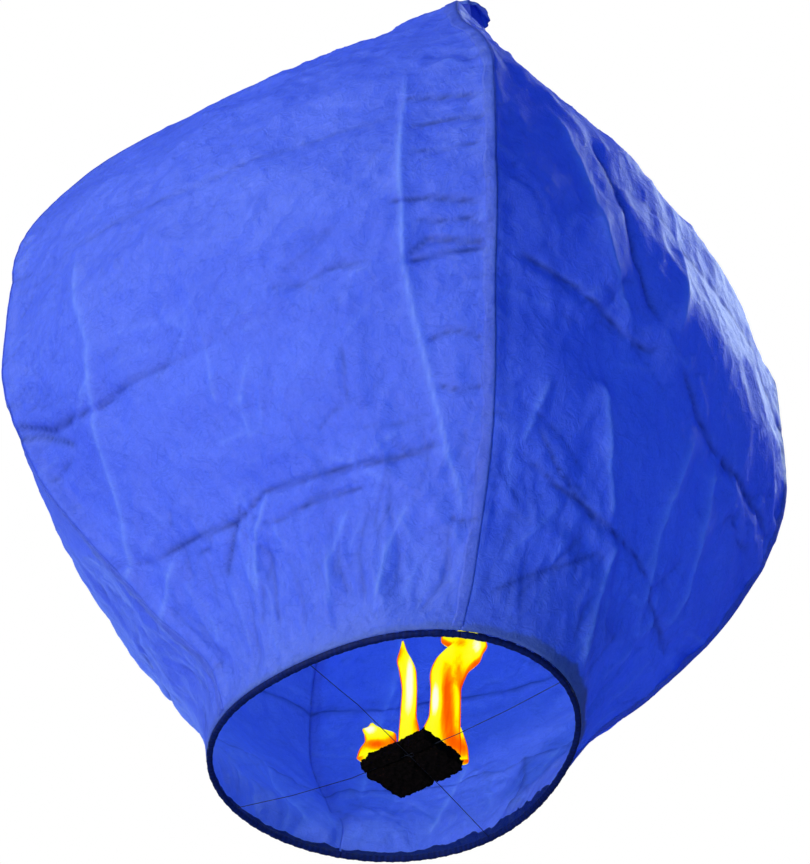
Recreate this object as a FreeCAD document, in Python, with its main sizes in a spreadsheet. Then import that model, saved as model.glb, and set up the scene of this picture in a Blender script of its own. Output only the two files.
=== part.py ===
"""Sky lantern: a paper bag of four glued gores on a bamboo hoop, with two crossed wires and a fuel pad.

Millimetres, +Z up. The origin is on the hoop's axis, in the plane that the paper hem stands on.
Seams lie over +X, +Y, -X and -Y, so gore 1 fills the quarter from +X to +Y, and so on.
"""

import FreeCAD, Part
import math
import os

import Sketcher
from FreeCAD import Rotation, Vector

SIZES = {
    "tall": 1066.0,  # hem to the end of the gores
    "hoop_radius": 190.0,
    "hoop_oval": 17.0,  # the hand-bent hoop is this much longer, and shorter, than round
    "oval_turn": -70.0,  # where its long axis lies
    "hoop_third": 6.0,  # its slight three-sided bulge
    "third_turn": 46.0,
    "strip_tall": 3.2,
    "strip_thick": 1.5,
    "lap_start": 198.0,
    "lap_turn": 14.0,
    "lap_gap": 0.1,
    "tie_wide": 6.0,
    "tie_thick": 0.4,
    "tie_gap": 0.05,
    "hem_wall": 0.6,
    "hem_tall": 6.4,
    "hem_outside": 2.8,  # from the middle of the strip to the hem's outer face
    "hem_inside": 3.5,
    "paper": 1.0,
    "wire": 0.8,
    "wire_loop_gap": 0.1,
    "wire_hole": 2.4,
    "cross_x": 15.2,
    "cross_y": 7.65,
    "wire_a_level": 6.1,
    "wire_b_level": 7.0,
    "wire_bend": 12.0,
    "wire_flat_reach": 102.0,  # the wires stay at their crossing level this far out
    "wire_a_turn": 41.1,
    "wire_b_turn": -54.0,
    "pad_x": 25.0,
    "pad_y": 26.0,
    "pad_turn": 32.0,
    "pad_wide": 70.0,
    "pad_long": 90.0,
    "pad_thick": 15.0,
    "pad_level": 2.0,
    "groove_wide": 4.0,
    "groove_deep": 5.9,
    "recess_radius": 8.0,
    "prong_spread": 5.0,
    "prong_hole": 1.8,
    "staple_level": 5.1,
    "staple_top": 20.5,
    "cap_x": 52.5,
    "cap_y": -32.0,
    "cap_radius": 28.0,
    "cap_top_radius": 18.0,
    "cap_tall": 14.0,
    "cap_wall": 0.8,
    "cap_gap": 0.8,  # between the cap's roof and the ends of the gores
}

# Share of the height, distance of the seams from the middle, the gore's middle as a share of that
# distance, and how far the middle is blown off the hoop's axis, towards +X and +Y.
LEVELS = [
    (0.05, 217, 0.976, 6, -3),
    (0.12, 282, 0.887, 7, 10),
    (0.26, 390, 0.862, -4, 8),
    (0.40, 436, 0.857, -8, -7),
    (0.54, 433, 0.824, -7, 4),
    (0.68, 354, 0.777, -22, 14),
    (0.82, 215, 0.724, 1, -6),
    (0.93, 74, 0.741, 42, -10),
    (0.97, 28, 0.74, 56, -22),
    (1.00, 13, 0.74, 52, -34),
]

# Plan of each wire's bends between the hoop and the crossing, from the wire's first end to its last.
WIRE_A_BENDS = [(-81, -74), (-60, -58), (66, 52)]
WIRE_B_BENDS = [(-78, 115), (-28, 67), (52, -43), (86, -99)]
WIRE_A_ENDS = (-139, 40)  # where its ends are wound on the hoop, in degrees
WIRE_B_ENDS = (130, -54)

QUARTER = math.pi / 2
ARC_STEPS = 6
BAND_STEPS = 8

doc = FreeCAD.newDocument("SkyLantern")
sheet = doc.addObject("Spreadsheet::Sheet", "Sizes")
for row, (alias, value) in enumerate(SIZES.items(), start=1):
    sheet.set(f"A{row}", alias)
    sheet.set(f"B{row}", str(value))
    sheet.setAlias(f"B{row}", alias)
for row, values in enumerate(LEVELS, start=1):
    for column, word, value in zip("CDEFG", ("level", "seam", "middle", "east", "north"), values):
        sheet.set(f"{column}{row}", str(value))
        sheet.setAlias(f"{column}{row}", f"{word}_{row}")
doc.recompute()


def size(alias):
    """A driving size, read from the spreadsheet."""
    return float(getattr(sheet, alias))


def polar(radius, angle, level=0.0):
    return Vector(radius * math.cos(angle), radius * math.sin(angle), level)


def smooth_edge(points):
    curve = Part.BSplineCurve()
    curve.interpolate(points)
    return curve.toShape()


def steps(low, high, count):
    return [low + (high - low) * i / count for i in range(count + 1)]


def add_shape(name, shape):
    """A document object of the given name that holds a finished shape."""
    feature = doc.addObject("Part::Feature", name)
    feature.Label = name
    feature.Shape = shape
    return feature


# ---- hoop ----------------------------------------------------------------------------------------


def hoop_at(angle):
    """Distance from the axis to the middle of the hoop's strip."""
    turn = angle - math.radians(size("oval_turn"))
    third = size("hoop_third") * math.cos(3 * (angle - math.radians(size("third_turn"))))
    return size("hoop_radius") + size("hoop_oval") * math.cos(2 * turn) + third


def smoothstep(share):
    share = min(max(share, 0.0), 1.0)
    return share * share * (3 - 2 * share)


def hoop():
    """One strip, bent once round and on past its own start, where it passes inside by its thickness."""
    start = math.radians(size("lap_start"))
    whole = 2 * math.pi + math.radians(size("lap_turn"))
    inward = size("strip_thick") + size("lap_gap")
    ease = math.radians(24)

    def side(offset):
        points = []
        for run in steps(0, whole, 96):
            step_in = inward * smoothstep((run - 2 * math.pi + ease) / ease)
            points.append(polar(hoop_at(start + run) - step_in + offset, start + run, low))
        return points

    low = (size("hem_tall") - size("strip_tall")) / 2
    half = size("strip_thick") / 2
    outer, inner = side(half), side(-half)
    outline = [
        smooth_edge(outer),
        Part.makeLine(outer[-1], inner[-1]),
        smooth_edge(inner),
        Part.makeLine(inner[0], outer[0]),
    ]
    face = Part.Face(Part.Wire(Part.__sortEdges__(outline)))
    return face.extrude(Vector(0, 0, size("strip_tall")))


# ---- gores ---------------------------------------------------------------------------------------


def section_radius(local, seam, middle):
    """Radius of a gore's arc, which runs through both seams and the gore's middle."""
    half_chord = seam * math.sin(math.pi / 4)
    rise = middle - seam * math.cos(math.pi / 4)
    arc = (half_chord**2 + rise**2) / (2 * rise)
    centre = middle - arc
    return centre * math.cos(local) + math.sqrt(arc**2 - (centre * math.sin(local)) ** 2)


def gore_section(first_seam, share, level, seam, middle, east=0.0, north=0.0):
    """Closed outline of one gore at one height."""
    oval_fade = max(0.0, 1 - share / 0.3)
    shift = Vector(east, north, level)
    sides = []
    for inset in (0.0, size("paper")):
        points = []
        for angle in steps(first_seam, first_seam + QUARTER, ARC_STEPS):
            local = angle - first_seam - QUARTER / 2
            oval = (hoop_at(angle) / size("hoop_radius") - 1) * oval_fade
            radius = section_radius(local, seam, middle) * (1 + oval) - inset
            points.append(polar(radius, angle) + shift)
        sides.append(points)
    outer, inner = sides
    edges = [
        smooth_edge(outer),
        Part.makeLine(outer[-1], inner[-1]),
        smooth_edge(inner[::-1]),
        Part.makeLine(inner[0], outer[0]),
    ]
    return Part.Wire(edges)


def band(first_seam, inside, outside, low, high):
    """Quarter of a flat ring that follows the hoop, from inside to outside of the strip's middle."""
    angles = steps(first_seam, first_seam + QUARTER, BAND_STEPS)
    outer = [polar(hoop_at(a) + outside, a, low) for a in angles]
    inner = [polar(hoop_at(a) - inside, a, low) for a in angles]
    edges = [
        smooth_edge(outer),
        Part.makeLine(outer[-1], inner[-1]),
        smooth_edge(inner[::-1]),
        Part.makeLine(inner[0], outer[0]),
    ]
    return Part.Face(Part.Wire(edges)).extrude(Vector(0, 0, high - low))


def gore(number):
    """One sheet of paper: folded round the hoop at its foot, widest half way up, gathered at its tip."""
    first_seam = (number - 1) * QUARTER
    wall, hem_top = size("hem_wall"), size("hem_tall")
    foot_level = hem_top - wall
    foot_radius = size("hoop_radius") + size("hem_outside")
    sections = [gore_section(first_seam, 0.0, foot_level, foot_radius, foot_radius * 0.9999)]
    for row in range(1, len(LEVELS) + 1):
        share, seam, middle = size(f"level_{row}"), size(f"seam_{row}"), size(f"middle_{row}")
        level = foot_level + share * (size("tall") - foot_level)
        east, north = size(f"east_{row}"), size(f"north_{row}")
        sections.append(gore_section(first_seam, share, level, seam, seam * middle, east, north))
    bag = Part.makeLoft(sections, True, False)

    hem = band(first_seam, size("hem_inside"), size("hem_outside"), 0.0, hem_top)
    channel = band(first_seam, size("hem_inside") - wall, size("hem_outside") - wall, wall, hem_top - wall)
    shape = hem.cut(channel).fuse(bag)
    for end in WIRE_A_ENDS + WIRE_B_ENDS:
        shape = shape.cut(wire_hole(math.radians(end)))
    return shape.removeSplitter()


def wire_hole(angle):
    """Hole in the hem's inner wall for a wire, along the hoop's radius."""
    radius = size("wire_hole") / 2
    reach = hoop_at(angle) - size("hem_inside") - 1.0
    return Part.makeCylinder(radius, 2.5, polar(reach, angle, size("hem_tall") / 2), polar(1, angle))


# ---- wires ---------------------------------------------------------------------------------------


def rounded_path(points, radius):
    """Straight runs joined by tangent arcs."""
    edges, start = [], points[0]
    for before, corner, after in zip(points, points[1:], points[2:]):
        into = (corner - before).normalize()
        out = (after - corner).normalize()
        turn = into.getAngle(out)
        bend = min(radius, 0.45 * min((corner - before).Length, (after - corner).Length) / math.tan(turn / 2))
        cut_back = bend * math.tan(turn / 2)
        first, last = corner - into * cut_back, corner + out * cut_back
        inward = (out - into).normalize()
        middle = corner + inward * (bend / math.cos(turn / 2) - bend)
        edges.append(Part.makeLine(start, first))
        edges.append(Part.Arc(first, middle, last).toShape())
        start = last
    edges.append(Part.makeLine(start, points[-1]))
    return Part.Wire(edges)


def tube(path, diameter):
    start = path.Edges[0]
    direction = start.tangentAt(start.FirstParameter)
    circle = Part.makeCircle(diameter / 2, path.OrderedVertexes[0].Point, direction)
    return path.makePipeShell([Part.Wire(circle)], True, False)


def end_loop(angle):
    """The turn of wire that grips the strip, as a closed ring round it."""
    reach = size("wire") / 2 + size("wire_loop_gap")
    half_wide = size("strip_thick") / 2 + reach
    half_tall = size("strip_tall") / 2 + reach
    corner = 0.6
    centre = polar(hoop_at(angle), angle, size("hem_tall") / 2)
    across, up = polar(1, angle), Vector(0, 0, 1)
    corners = [(1, 1), (-1, 1), (-1, -1), (1, -1)]
    points = [centre + across * (half_wide * x) + up * (half_tall * z) for x, z in corners]
    start = (points[0] + points[3]) / 2
    path = rounded_path([start, *points, start], corner)
    return tube(path, size("wire"))


def cross_wire(ends, bends, crossing_level):
    """A wire from one side of the hoop to the other, rising a little to the crossing."""
    first, last = (math.radians(end) for end in ends)
    foot = size("hem_tall") / 2
    reach = size("strip_thick") / 2 + size("wire_loop_gap") + size("wire") / 2
    start = polar(hoop_at(first) - reach, first, foot)
    finish = polar(hoop_at(last) - reach, last, foot)
    centre = Vector(size("cross_x"), size("cross_y"), crossing_level)
    flat_within = size("wire_flat_reach")
    points = [start]
    for x, y in bends:
        away = math.hypot(x - centre.x, y - centre.y)
        rim = start if math.hypot(x - start.x, y - start.y) < math.hypot(x - finish.x, y - finish.y) else finish
        span = math.hypot(rim.x - centre.x, rim.y - centre.y)
        share = max(0.0, (away - flat_within) / (span - flat_within))
        points.append(Vector(x, y, crossing_level + (foot - crossing_level) * share))
    points.append(finish)
    run = tube(rounded_path(points, size("wire_bend")), size("wire"))
    return run.fuse([end_loop(first), end_loop(last)]).removeSplitter()


def staple():
    """A short wire under the crossing, with both ends standing up through the pad."""
    turn = math.radians((size("wire_a_turn") + size("wire_b_turn")) / 2)
    centre = Vector(size("cross_x"), size("cross_y"), 0)
    sides = [polar(size("prong_spread") * side, turn) + centre for side in (-1, 1)]
    low, high = Vector(0, 0, size("staple_level")), Vector(0, 0, size("staple_top"))
    path = rounded_path([sides[0] + high, sides[0] + low, sides[1] + low, sides[1] + high], 1.6)
    return tube(path, size("wire"))


# ---- parts built from bound features -------------------------------------------------------------


def plane_of(body, role):
    return next(o for o in body.Origin.OriginFeatures if o.Role == role)


def rectangle(sketch, name, wide, high):
    """A rectangle about the sketch's origin, its two sides bound to expressions."""
    corners = [Vector(-1, -1, 0), Vector(1, -1, 0), Vector(1, 1, 0), Vector(-1, 1, 0)]
    first = sketch.GeometryCount
    for start, end in zip(corners, corners[1:] + corners[:1]):
        sketch.addGeometry(Part.LineSegment(start, end))
    for i in range(4):
        sketch.addConstraint(Sketcher.Constraint("Coincident", first + i, 2, first + (i + 1) % 4, 1))
    for i, direction in enumerate(("Horizontal", "Vertical", "Horizontal", "Vertical")):
        sketch.addConstraint(Sketcher.Constraint(direction, first + i))
    sketch.addConstraint(Sketcher.Constraint("Symmetric", first, 1, first + 1, 2, -1, 1))
    for kind, edge, word, expression in (
        ("DistanceX", first, "wide", wide),
        ("DistanceY", first + 1, "high", high),
    ):
        index = sketch.addConstraint(Sketcher.Constraint(kind, edge, 1, edge, 2, 2.0))
        sketch.renameConstraint(index, f"{name}_{word}")
        sketch.setExpression(f"Constraints.{name}_{word}", expression)


def new_sketch(body, role):
    sketch = body.newObject("Sketcher::SketchObject", f"{body.Name}_sketch")
    sketch.AttachmentSupport = [(plane_of(body, role), "")]
    sketch.MapMode = "FlatFace"
    return sketch


def hoop_tie(number):
    """A thread wound round both laps of the strip: a flat rectangular collar along the hoop."""
    body = doc.addObject("PartDesign::Body", f"hoop_tie_{number}")
    body.Label = f"hoop_tie_{number}"
    sketch = new_sketch(body, "XY_Plane")
    inner_wide = "2 * Sizes.strip_thick + Sizes.lap_gap + 2 * Sizes.tie_gap"
    inner_high = "Sizes.strip_tall + 2 * Sizes.tie_gap"
    rectangle(sketch, "inner", inner_wide, inner_high)
    rectangle(sketch, "outer", f"{inner_wide} + 2 * Sizes.tie_thick", f"{inner_high} + 2 * Sizes.tie_thick")
    pad = body.newObject("PartDesign::Pad", f"{body.Name}_collar")
    pad.Profile = sketch
    pad.setExpression("Length", "Sizes.tie_wide")
    pad.Midplane = True
    angle = math.radians(size("lap_start") + size("lap_turn") * (0.28 if number == 1 else 0.72))
    lap_middle = hoop_at(angle) - (size("strip_thick") + size("lap_gap")) / 2
    slope = (hoop_at(angle + 0.01) - hoop_at(angle - 0.01)) / 0.02 / hoop_at(angle)
    across = polar(1, angle - math.atan(slope))
    along = Vector(0, 0, 1).cross(across)
    place = FreeCAD.Matrix(
        *(across.x, 0, along.x, 0),
        *(across.y, 0, along.y, 0),
        *(0, 1, 0, 0),
        *(0, 0, 0, 1),
    )
    turned = FreeCAD.Placement(place)
    turned.Base = polar(lap_middle, angle, size("hem_tall") / 2)
    body.Placement = turned
    return body


def crown_cap():
    """A gathered paper cap over the gore tips: a shallow cone with a closed top, turned about its axis."""
    body = doc.addObject("PartDesign::Body", "crown_cap")
    body.Label = "crown_cap"
    sketch = new_sketch(body, "XZ_Plane")
    corners = [
        ("0", "Sizes.cap_tall"),
        ("Sizes.cap_top_radius", "Sizes.cap_tall"),
        ("Sizes.cap_radius", "0"),
        ("Sizes.cap_radius - Sizes.cap_wall", "0"),
        ("Sizes.cap_top_radius - Sizes.cap_wall", "Sizes.cap_tall - Sizes.cap_wall"),
        ("0", "Sizes.cap_tall - Sizes.cap_wall"),
    ]
    tall, wall = size("cap_tall"), size("cap_wall")
    wide, narrow = size("cap_radius"), size("cap_top_radius")
    start = [
        Vector(0, tall, 0),
        Vector(narrow, tall, 0),
        Vector(wide, 0, 0),
        Vector(wide - wall, 0, 0),
        Vector(narrow - wall, tall - wall, 0),
        Vector(0, tall - wall, 0),
    ]
    for a, b in zip(start, start[1:] + start[:1]):
        sketch.addGeometry(Part.LineSegment(a, b))
    for i in range(6):
        sketch.addConstraint(Sketcher.Constraint("Coincident", i, 2, (i + 1) % 6, 1))
    for i, (x, y) in enumerate(corners):
        for kind, word, expression, axis, value in (
            ("DistanceX", "across", x, -2, start[i].x),
            ("DistanceY", "up", y, -1, start[i].y),
        ):
            if expression == "0":
                sketch.addConstraint(Sketcher.Constraint("PointOnObject", i, 1, axis))
                continue
            index = sketch.addConstraint(Sketcher.Constraint(kind, -1, 1, i, 1, value))
            sketch.renameConstraint(index, f"{word}_{i}")
            sketch.setExpression(f"Constraints.{word}_{i}", expression)
    turned = body.newObject("PartDesign::Revolution", "crown_turn")
    turned.Profile = sketch
    turned.ReferenceAxis = (sketch, ["V_Axis"])
    turned.Angle = 360
    level = size("tall") + size("cap_gap") + size("cap_wall") - size("cap_tall")
    body.Placement = FreeCAD.Placement(
        Vector(size("cap_x"), size("cap_y"), level), Rotation()
    )
    return body


def box(name, sizes, centre, turn):
    """A box bound to the sheet, placed with its middle over a point and turned about Z."""
    solid = doc.addObject("Part::Box", name)
    for side, expression in zip(("Length", "Width", "Height"), sizes):
        solid.setExpression(side, expression)
    doc.recompute()
    about = Rotation(Vector(0, 0, 1), turn)
    corner = about.multVec(Vector(-solid.Length.Value / 2, -solid.Width.Value / 2, 0))
    solid.Placement = FreeCAD.Placement(centre + corner, about)
    return solid


def cylinder(name, radius, height, foot):
    solid = doc.addObject("Part::Cylinder", name)
    solid.setExpression("Radius", radius)
    solid.setExpression("Height", height)
    solid.Placement = FreeCAD.Placement(foot, Rotation())
    return solid


def fuel_pad():
    """A waxed block that straddles the crossing: grooves for both wires and two holes for the staple."""
    level = size("pad_level")
    block = box(
        "pad_block",
        ("Sizes.pad_wide", "Sizes.pad_long", "Sizes.pad_thick"),
        Vector(size("pad_x"), size("pad_y"), level),
        size("pad_turn"),
    )
    crossing = Vector(size("cross_x"), size("cross_y"), level)
    tools = []
    for name in ("a", "b"):
        groove_sizes = ("3 * Sizes.pad_long", "Sizes.groove_wide", "Sizes.groove_deep")
        tools.append(box(f"groove_{name}", groove_sizes, crossing, size(f"wire_{name}_turn")))
    tools.append(cylinder("pad_recess", "Sizes.recess_radius", "Sizes.groove_deep", crossing))
    turn = math.radians((size("wire_a_turn") + size("wire_b_turn")) / 2)
    for side in (-1, 1):
        foot = crossing + polar(size("prong_spread") * side, turn)
        name = "prong_hole_1" if side < 0 else "prong_hole_2"
        tools.append(cylinder(name, "Sizes.prong_hole / 2", "2 * Sizes.pad_thick", foot))
    cutter = doc.addObject("Part::MultiFuse", "pad_cutter")
    cutter.Shapes = tools
    cut = doc.addObject("Part::Cut", "fuel_pad")
    cut.Label = "fuel_pad"
    cut.Base = block
    cut.Tool = cutter
    return cut


parts = [add_shape("bamboo_hoop", hoop())]
parts += [hoop_tie(number) for number in (1, 2)]
parts += [add_shape(f"gore_{number}", gore(number)) for number in (1, 2, 3, 4)]
parts.append(crown_cap())
parts.append(add_shape("cross_wire_a", cross_wire(WIRE_A_ENDS, WIRE_A_BENDS, size("wire_a_level"))))
parts.append(add_shape("cross_wire_b", cross_wire(WIRE_B_ENDS, WIRE_B_BENDS, size("wire_b_level"))))
parts.append(add_shape("pad_staple", staple()))
parts.append(fuel_pad())

doc.recompute()
for item in doc.Objects:
    if "Invalid" in item.State or "Error" in item.State:
        raise RuntimeError(f"{item.Label} failed: {item.State}")
os.makedirs("parts", exist_ok=True)
for item in parts:
    if item.Shape.isNull() or not item.Shape.isValid():
        raise RuntimeError(f"{item.Label} has no valid shape")
    item.Shape.exportStep(f"parts/{item.Label}.step")
    bounds = item.Shape.BoundBox
    print(
        f"{item.Label:14s} solids {len(item.Shape.Solids)} volume {item.Shape.Volume:10.1f}"
        f" x {bounds.XMin:.1f}..{bounds.XMax:.1f} y {bounds.YMin:.1f}..{bounds.YMax:.1f}"
        f" z {bounds.ZMin:.2f}..{bounds.ZMax:.2f}"
    )
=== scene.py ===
"""Looks of the sky lantern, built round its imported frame. Metres, degrees where a name says so."""

import math

import bpy
import numpy as np
from mathutils import Matrix, Vector

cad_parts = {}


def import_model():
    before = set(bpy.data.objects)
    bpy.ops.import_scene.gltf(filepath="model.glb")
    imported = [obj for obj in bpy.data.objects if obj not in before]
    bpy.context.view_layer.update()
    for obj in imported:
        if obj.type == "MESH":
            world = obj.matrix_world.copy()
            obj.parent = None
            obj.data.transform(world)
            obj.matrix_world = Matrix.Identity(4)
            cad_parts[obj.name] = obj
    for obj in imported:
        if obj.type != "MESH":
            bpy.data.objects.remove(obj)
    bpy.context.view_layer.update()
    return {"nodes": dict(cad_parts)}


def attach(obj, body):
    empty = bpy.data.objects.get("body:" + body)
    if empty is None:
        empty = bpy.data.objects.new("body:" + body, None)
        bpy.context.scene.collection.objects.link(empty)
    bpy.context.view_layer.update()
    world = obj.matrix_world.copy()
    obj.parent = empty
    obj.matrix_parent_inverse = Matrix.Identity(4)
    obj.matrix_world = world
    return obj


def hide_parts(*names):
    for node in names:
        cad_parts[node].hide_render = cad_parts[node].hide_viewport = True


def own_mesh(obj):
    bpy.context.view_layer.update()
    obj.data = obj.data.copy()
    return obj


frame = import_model()

# ---- sizes, as in the part's source --------------------------------------------------------------

TALL = 1.066
FOOT = 0.0058  # where the paper leaves the hem
HOOP_RADIUS, HOOP_OVAL, OVAL_TURN = 0.190, 0.017, math.radians(-70)
HOOP_THIRD, THIRD_TURN = 0.006, math.radians(46)
HEM_TALL, HEM_INSIDE, HEM_OUTSIDE = 0.0064, 0.0035, 0.0028
CAP_CENTRE = (0.0525, -0.032)
PAD_CENTRE, PAD_TURN = (0.025, 0.026), math.radians(32)
PAD_SIZE = (0.070, 0.090, 0.015)
PAD_LOW = 0.002
WIRE_CROSSING = (0.0152, 0.00765)
WIRE_LINES = [
    [(-0.0604, -0.0583), WIRE_CROSSING, (0.0664, 0.0522)],
    [(-0.028, 0.067), WIRE_CROSSING, (0.052, -0.043)],
]

# Share of the height, distance of the seams from the middle, the gore's middle as a share of it,
# and how far the middle is blown off the hoop's axis, towards +X and +Y.
LEVELS = np.array([
    (0.00, 0.1928, 0.9999, 0.0, 0.0),
    (0.05, 0.217, 0.976, 0.006, -0.003),
    (0.12, 0.282, 0.887, 0.007, 0.010),
    (0.26, 0.390, 0.862, -0.004, 0.008),
    (0.40, 0.436, 0.857, -0.008, -0.007),
    (0.54, 0.433, 0.824, -0.007, 0.004),
    (0.68, 0.354, 0.777, -0.022, 0.014),
    (0.82, 0.215, 0.724, 0.001, -0.006),
    (0.93, 0.074, 0.741, 0.042, -0.010),
    (0.97, 0.028, 0.74, 0.056, -0.022),
    (1.00, 0.013, 0.74, 0.052, -0.034),
])

# ---- sizes of the looks --------------------------------------------------------------------------

TWIST, TWIST_END = math.radians(-4.8), 0.4  # the seams turn this far between the hem and this share
OVAL_END = 0.3  # the hoop's oval has faded out at this share of the height
PAPER = 0.00035  # thickness of the sheets
SLACK = 0.0035  # the crushed paper lies this far inside the blown-up bag
GRID = 0.0042  # spacing of the paper's grid
MEAN_RADIUS = 0.43  # of the bag where it is widest, for the grid's columns
CRUMPLE_RADIUS = 0.40  # turns an angle into a distance across the crumple's waves
LAP_WIDE, LAP_BACK = 0.010, -0.12  # glued overlap of each seam, and its start as a share of that
LAP_ACROSS = 6  # grid points across an overlap
FLAP_LOW, FLAP_HIGH = 0.008, 0.021  # height of the hem's inner flap, lowest and at the right
HEM_CORNER = 3.2  # 2 would make the hem's section round; more is squarer
FLOOR = -3.6

rng = np.random.default_rng(7)


# ---- the bag's surface ---------------------------------------------------------------------------


def smooth_through(known, values, at):
    """Monotone cubic through the known values."""
    gap = np.diff(known)
    slope = np.diff(values) / gap
    tangent = np.r_[slope[0], np.zeros(len(known) - 2), slope[-1]]
    same = slope[:-1] * slope[1:] > 0
    wide, near = 2 * gap[1:] + gap[:-1], gap[1:] + 2 * gap[:-1]
    safe = np.where(slope == 0, 1, slope)
    tangent[1:-1] = np.where(same, (wide + near) / (wide / safe[:-1] + near / safe[1:]), 0)
    at = np.asarray(at, float)
    i = np.clip(np.searchsorted(known, at, side="right") - 1, 0, len(gap) - 1)
    x = (at - known[i]) / gap[i]
    low, high = values[i], values[i + 1]
    return (
        low * (1 + 2 * x) * (1 - x) ** 2
        + gap[i] * tangent[i] * x * (1 - x) ** 2
        + high * x * x * (3 - 2 * x)
        + gap[i] * tangent[i + 1] * x * x * (x - 1)
    )


def smoothstep(x, low=0.0, high=1.0):
    x = np.clip((x - low) / (high - low), 0, 1)
    return x * x * (3 - 2 * x)


def hoop_at(angle):
    """Distance from the axis to the middle of the hoop's strip."""
    oval = HOOP_OVAL * np.cos(2 * (angle - OVAL_TURN))
    return HOOP_RADIUS + oval + HOOP_THIRD * np.cos(3 * (angle - THIRD_TURN))


def level(column, share):
    return smooth_through(LEVELS[:, 0], LEVELS[:, column], share)


def bag(angle, share):
    """Points of the smooth bag; the seams are at whole quarters of the angle."""
    seam = level(1, share)
    middle = seam * level(2, share)
    local = np.mod(angle, math.pi / 2) - math.pi / 4
    rise = middle - seam * math.cos(math.pi / 4)
    arc = ((seam * math.sin(math.pi / 4)) ** 2 + rise**2) / (2 * rise)
    back = middle - arc
    radius = back * np.cos(local) + np.sqrt(arc**2 - (back * np.sin(local)) ** 2)
    radius = radius * (1 + (hoop_at(angle) / HOOP_RADIUS - 1) * np.maximum(0, 1 - share / OVAL_END))
    turned = angle + TWIST * np.minimum(share / TWIST_END, 1)
    return np.stack([
        radius * np.cos(turned) + level(3, share),
        radius * np.sin(turned) + level(4, share),
        FOOT + share * (TALL - FOOT),
    ], axis=-1)


FINE = np.linspace(0, 1, 1201)
RUN = np.linalg.norm(np.diff(bag(np.full(1201, -math.pi / 2), FINE), axis=0), axis=1)
RUN = np.r_[0, np.cumsum(RUN)]
SHEET_LONG = float(RUN[-1])  # along the seam from the hem to the tip
GIRTH = smooth_through(LEVELS[:, 0], LEVELS[:, 1] * (1 + LEVELS[:, 2]) / 2, FINE)


def share_at(along):
    return np.interp(along, RUN, FINE)


def per_radian(along):
    """Length across the paper of one radian, at that distance up it."""
    return np.interp(along, RUN, GIRTH)


def first_seam(number):
    """The angle of the seam that a gore begins at."""
    return (number - 1) * math.pi / 2


def wrap(angle):
    return (angle + math.pi) % (2 * math.pi) - math.pi


# ---- folds and wrinkles --------------------------------------------------------------------------
# A path's points are (degrees round the bag, millimetres up the paper), with the seams at -90, 0, 90
# and 180. Then come the fold's height, its width and its step from one side to the other, in
# millimetres.

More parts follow.
